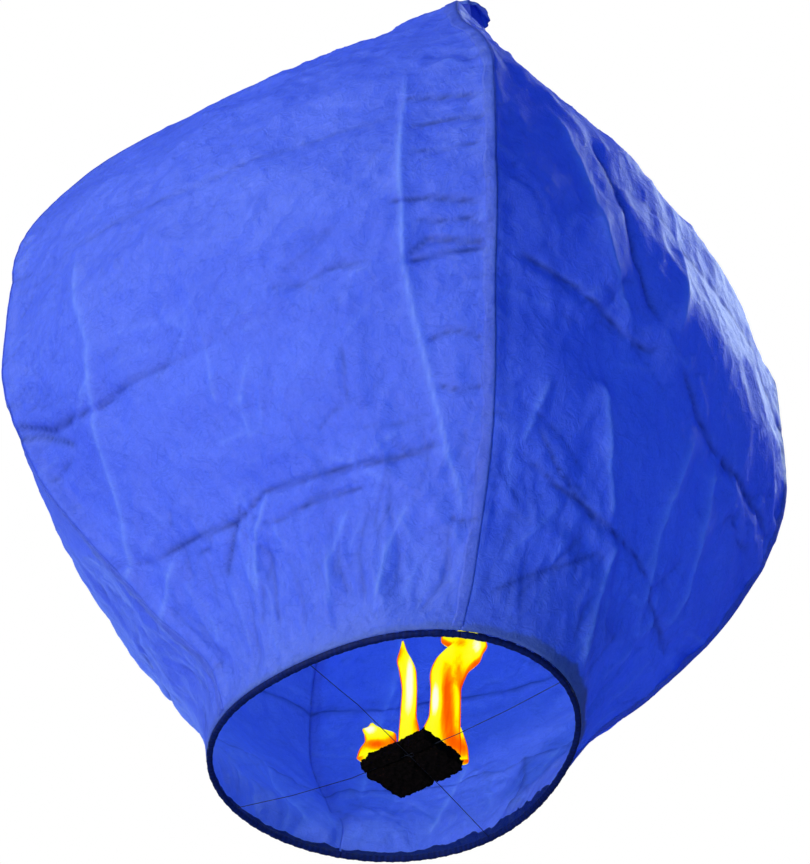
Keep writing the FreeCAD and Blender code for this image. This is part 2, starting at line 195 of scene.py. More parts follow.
FOLDS = [
    # packing folds, right round
    ([(176, 425), (-179, 395), (-174, 367), (-163, 355), (-155, 360), (-143, 357), (-133, 363), (-125, 369),
      (-116, 371), (-104, 382)], -4.5, 7, 2.5),
    ([(-104, 386), (-99.5, 409), (-95, 403), (-90, 399)], -5.0, 5, 4.0),
    ([(-104, 386), (-97, 391), (-90, 394)], -5.0, 5, 0.0),
    ([(-90, 396), (-84, 400), (-75.5, 400), (-65, 391), (-60, 390), (-56, 395), (-52, 420)], -4.5, 6, 2.0),
    ([(-52, 424), (-40.5, 382), (-32, 375), (-21, 385), (-10, 400), (0, 415)], -4.5, 7, 2.0),
    ([(0, 405), (28, 386), (52, 379), (90, 398), (121, 380), (150, 392), (176, 425)], -3.5, 8, 1.5),
    ([(-179, 186), (-162, 186), (-148, 181), (-139, 198), (-121, 194), (-106, 190), (-99, 195), (-90, 200)],
     -3.0, 6, 1.6),
    ([(-90, 200), (-84, 196), (-74, 181), (-57, 180), (-44, 190), (-30, 176), (0, 190)], -3.0, 6, 1.3),
    ([(0, 185), (40, 172), (90, 190), (135, 176), (181, 189)], -2.5, 8, 1.2),
    ([(-145, 172), (-138, 165), (-124, 171), (-112, 167)], -2.2, 5, 1.0),
    ([(-179, 590), (-140, 575), (-104, 585), (-90, 580)], -1.2, 7, 0.5),
    ([(-90, 580), (-60, 590), (0, 575), (60, 590), (120, 575), (181, 590)], -1.4, 7, 0.5),
    # tucks beside the near seam
    ([(-105, 617), (-98, 605), (-91, 594)], -2.8, 5, 1.6),
    ([(-103, 563), (-97, 566), (-90, 560)], -3.2, 5, 2.0),
    ([(-103, 522), (-97, 516), (-91, 520)], -2.0, 4, 1.2),
    ([(-106, 455), (-100, 456), (-91, 441)], -3.2, 5, 2.0),
    ([(-102, 432), (-96, 424), (-91, 430)], -2.2, 4, 1.2),
    ([(-101, 300), (-96, 310), (-91, 296)], -2.2, 4, 1.2),
    ([(-100, 258), (-95, 246), (-91, 250)], -2.2, 4, 1.2),
    ([(-97, 120), (-93, 112), (-90, 116)], -2.4, 4, 1.4),
    # lengthwise folds of the near gores
    ([(-102, 700), (-103, 550), (-103, 390), (-101.5, 315), (-99.5, 240), (-97.5, 185), (-94.5, 135),
      (-92, 70)], 4.0, 7, 1.4),
    ([(-82, 640), (-73.5, 555), (-70, 480), (-66, 425), (-60, 392)], 6.5, 13, 0.0),
    ([(-72, 640), (-66, 570), (-62, 490), (-58, 445), (-52, 424)], -6.0, 11, 0.0),
    ([(-47, 660), (-49, 560), (-50, 480), (-51, 424)], 6.0, 12, 0.0),
    ([(-68, 330), (-65, 285), (-62, 235), (-57, 180)], 7.5, 11, 0.0),
    ([(-79, 290), (-82, 240), (-84, 195)], 2.5, 5, 0.8),
    ([(-82, 240), (-79, 220), (-74.5, 197), (-67, 181), (-56, 170)], -3.0, 5, 0.8),
    ([(-57, 190), (-54, 165), (-53.5, 115), (-52, 50), (-48, 8)], 6.5, 12, 0.0),
    ([(-39, 375), (-41, 340), (-42.5, 270), (-39, 205), (-32, 140)], 7.0, 13, 0.0),
    ([(-33, 372), (-29.5, 350), (-27, 285), (-20, 235), (-18, 170)], 7.0, 13, 0.0),
    ([(-88, 35), (-78, 65), (-67, 105), (-55, 162)], -3.0, 6, 0.0),
    ([(-66, 208), (-76, 235), (-86, 246)], -2.0, 5, 0.0),
    ([(-165, 610), (-162, 465), (-161, 425), (-164, 360), (-170, 255), (-176, 200), (-191, 150)],
     3.5, 9, 0.0),
    ([(-144, 205), (-151, 165), (-159, 125)], -3.5, 7, 0.0),
    ([(-137, 205), (-146, 150), (-152, 90)], 3.5, 7, 0.0),
    ([(-166, 182), (-174, 150), (-183, 120)], 3.5, 7, 0.0),
    ([(-170, 330), (-177, 372), (-186, 400)], -4.0, 7, 0.0),
    ([(-114, 325), (-115, 255)], -1.6, 4, 0.6),
    ([(-130, 345), (-136, 290), (-137, 240)], 1.8, 6, 0.0),
    ([(-118, 160), (-128, 100), (-131, 40)], 3.0, 8, 0.0),
    ([(-104, 150), (-112, 90), (-116, 30)], 2.6, 7, 0.0),
    # the same kind of fold in the far gores
    ([(76, 680), (77, 460), (80, 300), (84, 120)], 4.0, 9, 1.0),
    ([(18, 600), (22, 430), (30, 260), (34, 90)], 4.0, 11, 0.0),
    ([(150, 620), (146, 440), (140, 260), (138, 70)], 4.0, 11, 0.0),
    ([(120, 420), (128, 300), (131, 150)], 3.0, 10, 0.0),
    ([(108, 250), (104, 140), (100, 20)], 3.5, 8, 0.0),
    ([(60, 260), (62, 150), (66, 20)], 3.5, 9, 0.0),
    ([(44, 200), (38, 120), (36, 20)], -3.0, 8, 0.0),
]


def fold(angle, along, path, height, width, step=0.0):
    """A sharp fold along a path. Height, width and step in metres; a step lifts the side to its left."""
    reach = 7 * width
    wide = per_radian(along)
    best = np.full(angle.shape, 1e9)
    place = np.zeros(angle.shape)
    total = 0.0
    for (a0, v0), (a1, v1) in zip(path, path[1:]):
        x, y = wrap(angle - a0) * wide, along - v0
        dx, dy = (a1 - a0) * wide, v1 - v0
        near = (np.abs(x) < np.abs(dx) + reach) & (np.abs(y) < abs(dy) + reach)
        middle = (v0 + v1) / 2
        length = math.hypot((a1 - a0) * float(per_radian(middle)), dy)
        if near.any():
            xs, ys, dxs = x[near], y[near], dx[near]
            share = np.clip((xs * dxs + ys * dy) / (dxs**2 + dy**2), 0, 1)
            off_x, off_y = xs - share * dxs, ys - share * dy
            off = np.hypot(off_x, off_y) * np.where(dxs * ys - dy * xs >= 0, 1, -1)
            closer = np.abs(off) < np.abs(best[near])
            kept, was = best[near], place[near]
            kept[closer] = off[closer]
            was[closer] = total + share[closer] * length
            best[near], place[near] = kept, was
        total += length
    fade = np.minimum(smoothstep(place, 0, 0.16 * total), 1 - smoothstep(place, 0.84 * total, total))
    shape = np.exp(-np.abs(best) / width)
    rise = height * shape * fade
    if step:
        rise = rise + step * np.clip(best / (0.5 * width), -1, 1) * shape * fade
    return rise, shape * fade


def scatter(count, place, tilt, length, width, slope):
    """Small random folds.

    place(count) gives where; tilt is the mean angle from level and its spread; length, width and
    slope (height over width) are the ends of a range.
    """
    angles, heights = place(count)
    turn = rng.normal(tilt[0], tilt[1], count)
    half = rng.uniform(*length, count) / 2
    found = []
    for a, v, t, h in zip(angles, heights, turn, half):
        da = h * math.cos(t) / float(per_radian(v))
        dv = h * math.sin(t)
        bow = rng.normal(0, 0.16) * h
        mid = (a - bow * math.sin(t) / float(per_radian(v)), v + bow * math.cos(t))
        w = rng.uniform(*width)
        size = w * rng.uniform(*slope) * (1 if rng.random() < 0.5 else -1)
        found.append(([(a - da, v - dv), mid, (a + da, v + dv)], size, w, 0.0))
    return found


def anywhere(low, high):
    return lambda n: (rng.uniform(-math.pi, math.pi, n), rng.uniform(low, high, n))


def by_seams(low, high, spread):
    """Near one of the four seams, more on the side that the overlap is on."""
    def place(n):
        seam = rng.integers(0, 4, n) * math.pi / 2 - math.pi / 2
        v = rng.uniform(low, high, n)
        away = rng.normal(-0.4 * spread, spread, n)
        return seam + away / per_radian(v), v
    return place


def by_level(level, spread):
    return lambda n: (rng.uniform(-math.pi, math.pi, n), rng.normal(level, spread, n))


in_radians = [
    ([(math.radians(a), v / 1000) for a, v in path], h / 1000, w / 1000, s / 1000)
    for path, h, w, s in FOLDS
]
WRINKLES = in_radians + (
    scatter(420, anywhere(0.02, 1.15), (0.25, 0.9), (0.03, 0.12), (0.003, 0.006), (0.05, 0.14))
    + scatter(260, by_seams(0.02, 1.2, 0.018), (0.1, 0.45), (0.015, 0.05), (0.002, 0.0045), (0.15, 0.45))
    + scatter(120, by_seams(0.40, 0.75, 0.03), (0.2, 0.5), (0.02, 0.08), (0.003, 0.005), (0.15, 0.45))
    + scatter(150, by_level(0.19, 0.03), (0.1, 0.7), (0.02, 0.09), (0.003, 0.006), (0.15, 0.40))
    + scatter(190, by_level(0.385, 0.03), (0.15, 0.6), (0.02, 0.09), (0.003, 0.006), (0.15, 0.42))
    + scatter(220, by_level(0.09, 0.05), (1.45, 0.3), (0.04, 0.14), (0.004, 0.008), (0.10, 0.26))
)
# Crumple: each octave is a few waves with their turns per metre, phases and height.
CRUMPLE = [
    (rng.normal(0, 1, (7, 2)) * 2 * math.pi / length, rng.uniform(0, 2 * math.pi, 7), height)
    for length, height in ((0.22, 0.0036), (0.11, 0.0012), (0.05, 0.0004), (0.022, 0.0002))
]


def crumple(angle, along):
    """Facets with sharp edges between them, as in paper that has been crushed and pulled out again."""
    across = np.stack([angle * CRUMPLE_RADIUS, along], -1)
    total = np.zeros(angle.shape)
    for turns, phases, height in CRUMPLE:
        bent = 1.5 * np.sin(across @ turns[::-1].T * 0.5 + phases)
        waves = np.sin(across @ turns.T + phases + bent).mean(-1)
        total += height * (0.68 - 3.2 * np.abs(waves))
    return total


def relief(angle, along):
    """How far the paper stands off the smooth bag at each point, and its painted shading: painted shade in
    the bottoms of the folds, painted highlight on their ridges.
    """
    wide = per_radian(along)
    from_seam = np.abs(wrap(4 * angle)) / 4 * wide
    rise = (crumple(angle, along) - SLACK) * smoothstep(from_seam, 0.0, 0.018)
    painted_shading = np.zeros(angle.shape)
    for path, height, width, step in WRINKLES:
        vs = [v for _, v in path]
        reach = 7 * width
        rows = (along > min(vs) - reach) & (along < max(vs) + reach)
        middle = path[len(path) // 2][0]
        spread = max(abs(wrap(a - middle)) for a, _ in path)
        rows &= np.abs(wrap(angle - middle)) * wide < spread * wide + reach + 0.02
        if not rows.any():
            continue
        up, mark = fold(angle[rows], along[rows], path, height, width, step)
        rise[rows] += up
        # Painted shading: a sunken fold's bottom gets painted shade, a raised fold's ridge a painted
        # highlight.
        mark = mark**3 * min(1.0, abs(height) / 0.004 + abs(step) / 0.004)
        painted_shading[rows] += mark if height < 0 else -mark
    # Lower along the glued seams, and none at the hem and under the cap.
    rise = rise * (0.35 + 0.65 * smoothstep(from_seam, 0.0, 0.012))
    foot = smoothstep(along, 0, 0.035)
    tip = 1 - smoothstep(along, SHEET_LONG - 0.20, SHEET_LONG - 0.03)
    return rise * foot * tip, np.clip(painted_shading, -1, 1) * foot


def paper(angle, along, *insets):
    """Grids of points of the crumpled paper, each inset that far from its outer face, and the painted
    shading of its folds.
    """
    share = share_at(along)
    point = bag(angle, share)
    d = 1e-3
    across = bag(angle + d, share) - bag(angle - d, share)
    up = bag(angle, np.minimum(share + d, 1)) - bag(angle, np.maximum(share - d, 0))
    normal = np.cross(across, up)
    normal /= np.linalg.norm(normal, axis=-1, keepdims=True)
    rise, painted_shading = relief(angle, along)
    return [point + normal * (rise - inset)[..., None] for inset in insets] + [painted_shading]


# ---- mesh helpers --------------------------------------------------------------------------------


def mesh_object(name, points, faces, smooth=True):
    mesh = bpy.data.meshes.new(name)
    mesh.from_pydata([tuple(p) for p in points], [], faces)
    mesh.update()
    if smooth:
        mesh.shade_smooth()
    thing = bpy.data.objects.new(name, mesh)
    bpy.context.scene.collection.objects.link(thing)
    return thing


def grid_faces(rows, columns, start=0, flip=False):
    r, c = np.meshgrid(np.arange(rows - 1), np.arange(columns - 1), indexing="ij")
    a = (start + r * columns + c).ravel()
    quads = np.stack([a, a + 1, a + columns + 1, a + columns], 1)
    return quads[:, ::-1] if flip else quads


def closed_sheet(name, outer, inner):
    """A thin closed shell between two grids of points."""
    rows, columns = outer.shape[:2]
    count = rows * columns
    faces = [grid_faces(rows, columns), grid_faces(rows, columns, count, flip=True)]
    index = np.arange(count).reshape(rows, columns)
    border = np.concatenate([index[0, :-1], index[:-1, -1], index[-1, :0:-1], index[:0:-1, 0]])
    after = np.roll(border, -1)
    faces.append(np.stack([after, border, border + count, after + count], 1))
    points = np.concatenate([outer.reshape(-1, 3), inner.reshape(-1, 3)])
    sheet = mesh_object(name, points, np.concatenate(faces).tolist())
    smooth = np.ones(len(sheet.data.polygons), bool)
    smooth[-len(border):] = False
    sheet.data.polygons.foreach_set("use_smooth", smooth)
    return sheet


def closed_tube(name, points, flip=False):
    """A tube through rings of points, closed at both ends; the first index of points is the ring."""
    rings, around = points.shape[:2]
    faces = []
    for i in range(rings - 1):
        for j in range(around):
            k = (j + 1) % around
            faces.append((i * around + j, i * around + k, (i + 1) * around + k, (i + 1) * around + j))
    faces.append(tuple(range(around))[::-1])
    faces.append(tuple((rings - 1) * around + j for j in range(around)))
    if flip:
        faces = [face[::-1] for face in faces]
    return mesh_object(name, points.reshape(-1, 3), faces)


def point_value(thing, name, values):
    layer = thing.data.attributes.new(name, "FLOAT", "POINT")
    layer.data.foreach_set("value", np.asarray(values, np.float32).ravel())


# ---- materials -----------------------------------------------------------------------------------


def new_material(name):
    material = bpy.data.materials.new(name)
    material.use_nodes = True
    tree = material.node_tree
    tree.nodes.clear()
    return material, tree


def add(tree, kind, **inputs):
    node = tree.nodes.new(kind)
    for key, value in inputs.items():
        socket = node.inputs[key.replace("_", " ")]
        if hasattr(value, "is_output"):
            tree.links.new(value, socket)
        elif socket.type == "RGBA" and len(value) == 3:
            socket.default_value = (*value, 1.0)
        else:
            socket.default_value = value
    return node


def ramp(tree, source, *stops):
    node = tree.nodes.new("ShaderNodeValToRGB")
    tree.links.new(source, node.inputs[0])
    elements = node.color_ramp.elements
    elements[0].position, elements[1].position = stops[0][0], stops[-1][0]
    elements[0].color, elements[1].color = (*stops[0][1], 1.0), (*stops[-1][1], 1.0)
    for place, colour in stops[1:-1]:
        elements.new(place).color = (*colour, 1.0)
    return node.outputs["Color"]


def mix_colour(tree, share, first, second, blend="MIX"):
    node = tree.nodes.new("ShaderNodeMix")
    node.data_type = "RGBA"
    node.blend_type = blend
    for socket, value in ((node.inputs[0], share), (node.inputs[6], first), (node.inputs[7], second)):
        if hasattr(value, "is_output"):
            tree.links.new(value, socket)
        elif isinstance(value, tuple):
            socket.default_value = (*value, 1.0)
        else:
            socket.default_value = value
    return node.outputs[2]


def math_node(tree, operation, *values):
    node = tree.nodes.new("ShaderNodeMath")
    node.operation = operation
    for socket, value in zip(node.inputs, values):
        if hasattr(value, "is_output"):
            tree.links.new(value, socket)
        else:
            socket.default_value = value
    return node.outputs[0]


def noise(tree, place, scale, detail=4.0, roughness=0.6, distortion=0.0, stretch=None):
    if stretch:
        mapping = add(tree, "ShaderNodeMapping", Vector=place)
        mapping.inputs["Scale"].default_value = stretch
        place = mapping.outputs[0]
    node = add(
        tree, "ShaderNodeTexNoise", Vector=place, Scale=scale, Detail=detail,
        Roughness=roughness, Distortion=distortion,
    )
    return node.outputs["Fac"]


def attribute(tree, name):
    node = tree.nodes.new("ShaderNodeAttribute")
    node.attribute_name = name
    return node.outputs["Fac"]


def facets(tree, place, scale):
    """Heights of crumpled facets with straight sharp edges."""
    warp = tree.nodes.new("ShaderNodeTexNoise")
    tree.links.new(place, warp.inputs["Vector"])
    warp.inputs["Scale"].default_value = scale * 0.4
    moved = tree.nodes.new("ShaderNodeVectorMath")
    moved.operation = "MULTIPLY_ADD"
    tree.links.new(warp.outputs["Color"], moved.inputs[0])
    moved.inputs[1].default_value = (1.2 / scale,) * 3
    tree.links.new(place, moved.inputs[2])
    cells = tree.nodes.new("ShaderNodeTexVoronoi")
    cells.feature = "F1"
    tree.links.new(moved.outputs[0], cells.inputs["Vector"])
    cells.inputs["Scale"].default_value = scale
    return cells.outputs["Distance"]


def paper_material(name, light, deep, fold_shade, through, see_through, crush, gloss=0.35):
    """Dyed tissue paper: fibre grain, mottled dye, painted shade in the folds' bottoms and painted
    highlight on their ridges, some light coming through it.
    """
    material, tree = new_material(name)
    place = tree.nodes.new("ShaderNodeTexCoord").outputs["Object"]
    grain = noise(tree, place, 420.0, 3.0, 0.7)
    fibre = noise(tree, place, 150.0, 5.0, 0.7, stretch=(1.0, 1.0, 0.5))
    mottle = noise(tree, place, 9.0, 5.0, 0.6)
    lines = noise(tree, place, 26.0, 3.0, 0.55, 0.9, stretch=(1.0, 1.0, 1.6))
    lines = math_node(tree, "ABSOLUTE", math_node(tree, "SUBTRACT", lines, 0.5))
    tone = mix_colour(tree, ramp(tree, mottle, (0.36, (0, 0, 0)), (0.64, (1, 1, 1))), light, deep)
    specks = ramp(tree, grain, (0.34, (0.66, 0.72, 0.84)), (0.66, (1.0, 1.0, 1.0)))
    tone = mix_colour(tree, 0.9, tone, specks, "MULTIPLY")
    threads = ramp(tree, fibre, (0.38, (0.74, 0.80, 0.90)), (0.62, (1.0, 1.0, 1.0)))
    tone = mix_colour(tree, 0.8, tone, threads, "MULTIPLY")
    thin = ramp(tree, lines, (0.0, (0.55, 0.62, 0.74)), (0.014, (1.0, 1.0, 1.0)))
    tone = mix_colour(tree, 0.7, tone, thin, "MULTIPLY")
    painted_shading = attribute(tree, "painted_shading")  # painted shading: above 0 painted shade in a fold's bottom, below 0 painted highlight on a raised ridge
    painted_fold_shade = math_node(tree, "MAXIMUM", math_node(tree, "MULTIPLY", painted_shading, 0.72), 0.0)
    painted_ridge_highlight = math_node(tree, "MAXIMUM", math_node(tree, "MULTIPLY", painted_shading, -0.55), 0.0)
    # Painted shade darkens the folds' bottoms and painted highlight pales their ridges, in the surface
    # colour and in the colour of the light coming through.
    tone = mix_colour(tree, painted_fold_shade, tone, fold_shade)
    tone = mix_colour(tree, painted_ridge_highlight, tone, RIDGE_HIGHLIGHT)
    through = mix_colour(tree, painted_ridge_highlight, through, RIDGE_HIGHLIGHT)
    through = mix_colour(tree, painted_fold_shade, through, fold_shade)
    crackle = noise(tree, place, 60.0, 6.0, 0.62, 0.7)
    folded = math_node(tree, "ABSOLUTE", math_node(tree, "SUBTRACT", crackle, 0.5))
    for scale, share in ((17.0, 0.9), (38.0, 0.45)):
        height = math_node(tree, "MULTIPLY", facets(tree, place, scale), share)
        folded = math_node(tree, "ADD", folded, height)
    crushed = add(tree, "ShaderNodeBump", Strength=crush, Distance=0.007, Height=folded)
    fuzz = add(
        tree, "ShaderNodeBump", Strength=0.4, Distance=0.0005, Height=grain, Normal=crushed.outputs[0],
    )
    rough = ramp(tree, grain, (0.3, (0.46, 0.46, 0.46)), (0.7, (0.62, 0.62, 0.62)))
    face = add(tree, "ShaderNodeBsdfPrincipled", Base_Color=tone, Roughness=rough, Normal=fuzz.outputs[0])
    face.inputs["Specular IOR Level"].default_value = gloss
    behind = add(tree, "ShaderNodeBsdfTranslucent", Color=through, Normal=fuzz.outputs[0])
    both = tree.nodes.new("ShaderNodeMixShader")
    both.inputs[0].default_value = see_through
    tree.links.new(face.outputs[0], both.inputs[1])
    tree.links.new(behind.outputs[0], both.inputs[2])
    output = tree.nodes.new("ShaderNodeOutputMaterial")
    tree.links.new(both.outputs[0], output.inputs["Surface"])
    return material


def solid_material(
    name, dark, pale, scale, roughness, metallic=0.0, bump=0.3, stretch=None, specks=None, gloss=0.5
):
    """An opaque material whose colour runs between two tones with its grain."""
    material, tree = new_material(name)
    place = tree.nodes.new("ShaderNodeTexCoord").outputs["Object"]
    grain = noise(tree, place, scale, 6.0, 0.65, 0.4, stretch)
    tone = ramp(tree, grain, (0.35, dark), (0.65, pale))
    if specks:
        spots = noise(tree, place, scale * 1.7, 4.0, 0.6)
        tone = mix_colour(tree, ramp(tree, spots, (0.66, (0, 0, 0)), (0.72, (1, 1, 1))), tone, specks)
    raised = add(tree, "ShaderNodeBump", Strength=bump, Distance=0.001, Height=grain)
    low, high = roughness
    rough = ramp(tree, grain, (0.3, (low,) * 3), (0.7, (high,) * 3))
    face = add(
        tree, "ShaderNodeBsdfPrincipled", Base_Color=tone, Roughness=rough,
        Metallic=metallic, Normal=raised.outputs[0],
    )
    face.inputs["Specular IOR Level"].default_value = gloss
    output = tree.nodes.new("ShaderNodeOutputMaterial")
    tree.links.new(face.outputs[0], output.inputs["Surface"])
    return material


def flame_material(name, strength):
    """Orange where the fire is cool, yellow in most of it and nearly white in its cores."""
    material, tree = new_material(name)
    place = tree.nodes.new("ShaderNodeTexCoord").outputs["Object"]
    licks = noise(tree, place, 60.0, 4.0, 0.6, 0.9, stretch=(1.0, 1.0, 0.35))
    heat = math_node(tree, "ADD", attribute(tree, "warmth"), math_node(tree, "MULTIPLY", licks, 0.36))
    heat = math_node(tree, "SUBTRACT", heat, 0.18)
    tone = ramp(
        tree, heat, (0.0, (0.80, 0.05, 0.0)), (0.22, (1.0, 0.13, 0.0)), (0.38, (1.0, 0.36, 0.0)),
        (0.50, (1.0, 0.95, 0.0)), (0.74, (1.0, 1.0, 0.03)), (0.95, (1.0, 1.0, 0.80)),
    )
    fire = add(tree, "ShaderNodeEmission", Color=tone, Strength=strength)
    output = tree.nodes.new("ShaderNodeOutputMaterial")
    tree.links.new(fire.outputs[0], output.inputs["Surface"])
    return material


BLUE_LIGHT, BLUE_DEEP = (0.150, 0.240, 0.90), (0.120, 0.200, 0.84)
# Painted shade: the dark blue put in the bottoms of the folds.
BLUE_FOLD_SHADE = (0.012, 0.045, 0.42)
RIDGE_HIGHLIGHT = (0.26, 0.42, 1.0)  # painted highlight: raised edges of the folds are coloured paler
BLUE_THROUGH = (0.10, 0.24, 0.97)
CAP_LIGHT, CAP_DEEP = (0.12, 0.21, 0.85), (0.09, 0.17, 0.78)
# The hem's navy is the doubled paper over the hoop plus painted shade; the near-black fold tone is painted
# shade.
NAVY_DOUBLED_SHADED, NAVY_DEEP_DOUBLED_SHADED, NAVY_FOLD_SHADE = (0.004, 0.022, 0.30), (0.003, 0.018, 0.24), (0.001, 0.002, 0.02)
NAVY_THROUGH_DOUBLED_SHADED = (0.004, 0.025, 0.33)
paper_blue = paper_material("paper_blue", BLUE_LIGHT, BLUE_DEEP, BLUE_FOLD_SHADE, BLUE_THROUGH, 0.55, 0.45)
paper_hem_doubled_shaded = paper_material("paper_hem_doubled_shaded", NAVY_DOUBLED_SHADED, NAVY_DEEP_DOUBLED_SHADED, NAVY_FOLD_SHADE, NAVY_THROUGH_DOUBLED_SHADED, 0.25, 0.7, 0.08)
paper_cap = paper_material("paper_cap", CAP_LIGHT, CAP_DEEP, BLUE_FOLD_SHADE, BLUE_THROUGH, 0.4, 0.7)


# ---- gores ---------------------------------------------------------------------------------------


def gore(number):
    """One sheet of paper between two seams."""
    rows = int(SHEET_LONG / GRID)
    columns = int(MEAN_RADIUS * math.pi / 2 / GRID)
    along = np.linspace(0, SHEET_LONG, rows)
    spread = np.linspace(0, 1, columns)
    angle = first_seam(number) + spread * math.pi / 2
    a, v = np.meshgrid(angle, along)
    outer, inner, painted_shading = paper(a, v, 0.0, PAPER)
    wall = closed_sheet(f"gore_paper_{number}", outer, inner)
    # Painted shading of the folds: painted shade in their bottoms, painted highlight on their ridges.
    point_value(wall, "painted_shading", np.r_[painted_shading.ravel(), painted_shading.ravel()])
    wall.data.materials.append(paper_blue)
    return wall


def lap(number):
    """The glued strip along a gore's first seam, which lies on the neighbour's paper."""
    along = np.linspace(0.004, SHEET_LONG - 0.05, int(SHEET_LONG / GRID * 1.3))
    wobble = 1 + 0.10 * np.sin(along * 61 + number) + 0.07 * np.sin(along * 143 + 2 * number)
    taper = 1 - 0.7 * smoothstep(along, SHEET_LONG - 0.25, SHEET_LONG - 0.05)
    away = np.linspace(LAP_BACK, 1, LAP_ACROSS)
    wide = (LAP_WIDE * wobble * taper)[:, None] * away[None, :]
    v = np.repeat(along[:, None], LAP_ACROSS, axis=1)
    a = first_seam(number) - wide / per_radian(v)
    lift = 0.0006 + 0.0005 * np.sin(v * 210 + 3 * np.sin(v * 37)) * away[None, :]
    outer, inner, painted_shading = paper(a[:, ::-1], v, -lift[:, ::-1], PAPER - lift[:, ::-1])
    strip = closed_sheet(f"gore_lap_{number}", outer, inner)
    # Painted shading of the folds, at half strength.
    point_value(strip, "painted_shading", np.r_[painted_shading.ravel(), painted_shading.ravel()] * 0.5)
    strip.data.materials.append(paper_blue)
    return strip


def flap(number):
    """The hem's inner flap: the sheet's foot, folded up inside the bag and glued there. Its navy is doubled
    paper and painted shade.
    """
    a = first_seam(number) + np.linspace(0.004, 0.996, 90) * math.pi / 2
    tall = FLAP_LOW + (FLAP_HIGH - FLAP_LOW) * smoothstep(np.cos(a + 0.15), 0.1, 0.9)
    edge = tall * (1 + 0.10 * np.sin(a * 23 + number) + 0.07 * np.sin(a * 61) + 0.05 * np.sin(a * 137))
    up = np.linspace(0, 1, 8)[:, None]
    v = edge[None, :] * up
    angles = np.repeat(a[None, :], len(up), axis=0)
    ripple = 0.6 + 0.5 * np.sin(angles * 31) + 0.3 * np.sin(angles * 77)
    loose = 0.0012 + 0.0016 * up**2 * ripple
    outer, inner, _ = paper(angles, v, loose, loose + PAPER)
    strip = closed_sheet(f"gore_flap_{number}", outer, inner)
    # Painted shade: the whole flap is darkened about a third of the way to the fold shade.
    point_value(strip, "painted_shading", np.full(len(strip.data.vertices), 0.5))
    strip.data.materials.append(paper_hem_doubled_shaded)
    return strip


def hem(number):
    """The sheet's foot where it is folded round the hoop, in a navy that is doubled paper and painted
    shade.
    """
    a = first_seam(number) + np.linspace(0, 1, 150) * math.pi / 2
    turn = np.linspace(0, 2 * math.pi, 17)[:-1]
    half_wide = (HEM_INSIDE + HEM_OUTSIDE) / 2
    middle = (HEM_OUTSIDE - HEM_INSIDE) / 2
    square = (np.abs(np.cos(turn)) ** HEM_CORNER + np.abs(np.sin(turn)) ** HEM_CORNER) ** (-1 / HEM_CORNER)
    pucker = 1 + 0.045 * np.sin(a * 83 + number) + 0.035 * np.sin(a * 211) + 0.02 * np.sin(a * 37)
    radius = hoop_at(a)[:, None] + middle + half_wide * (np.cos(turn) * square)[None, :] * pucker[:, None]
    height = HEM_TALL / 2 * (1 + (np.sin(turn) * square)[None, :] * (2 * pucker[:, None] - 1) * 0.98)
    points = np.stack([radius * np.cos(a)[:, None], radius * np.sin(a)[:, None], height], -1)
    tube = closed_tube(f"gore_hem_{number}", points, flip=True)
    # Painted shade: the hem is darkened between a third and three quarters of the way to the near-black
    # fold shade, in bands round the hoop.
    point_value(tube, "painted_shading", 0.5 + 0.5 * np.abs(np.sin(np.repeat(a, len(turn)) * 97)))
    tube.data.materials.append(paper_hem_doubled_shaded)
    return tube


for number in range(1, 5):
    wall = gore(number)
    parts = [lap(number), flap(number), hem(number)]
    for part in [wall] + parts:
        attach(part, "frame")
        if not part.name.startswith("gore_hem"):
            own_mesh(part)
    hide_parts(f"gore_{number}")


# ---- crown cap -----------------------------------------------------------------------------------


def crown():
    """A small round of paper, pleated down over the gathered tips of the gores."""
    centre = Vector((*CAP_CENTRE, -0.009))
    profile = [  # radius and height, from the skirt's edge to the top
        (0.0278, 1.0560), (0.0262, 1.0605), (0.0225, 1.0650), (0.0185, 1.0690),
        (0.0155, 1.0722), (0.0125, 1.0748), (0.0085, 1.0764), (0.0040, 1.0768), (0.0006, 1.0768),
    ]
    around = 96
    turn = np.arange(around) * 2 * math.pi / around
    points = []
    for depth in (0.0, 0.0008):
        for row, (radius, level) in enumerate(profile):
            pleat = 0.035 * (1 - row / 8) * np.sin(turn * 13 + 0.4 * np.sin(turn * 3) + row * 0.25)
            edge = 0.0016 * (row == 0) * np.sin(turn * 5 + 1)
            r = (radius - depth * 0.6) * (1 + pleat)
            z = level - depth * 0.8 + edge
            points += [
                (centre.x + rr * math.cos(t), centre.y + rr * math.sin(t), zz + centre.z)
                for rr, t, zz in zip(r, turn, np.broadcast_to(z, turn.shape))
            ]
    rows = len(profile)
    inside = rows * around  # where the inner layer's points begin
    faces = []
    for i in range(rows - 1):
        for j in range(around):
            k = (j + 1) % around
            a, b = i * around, (i + 1) * around
            faces.append((a + j, a + k, b + k, b + j))
            faces.append((inside + b + j, inside + b + k, inside + a + k, inside + a + j))
    for j in range(around):
        k = (j + 1) % around
        faces.append((j, inside + j, inside + k, k))
    top = (rows - 1) * around
    faces.append(tuple(top + j for j in range(around)))
    faces.append(tuple(inside + top + j for j in range(around))[::-1])
    cap = mesh_object("crown_paper", points, faces)
    # Painted shade in the pleats: darker in bands round the cap.
    painted_shading = [0.25 * abs(math.sin(13 * (i % around) * math.pi / around)) for i in range(len(points))]
    point_value(cap, "painted_shading", painted_shading)
    cap.data.materials.append(paper_cap)
    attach(cap, "crown")
    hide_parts("crown_cap")


crown()


# ---- fuel pad and flames -------------------------------------------------------------------------

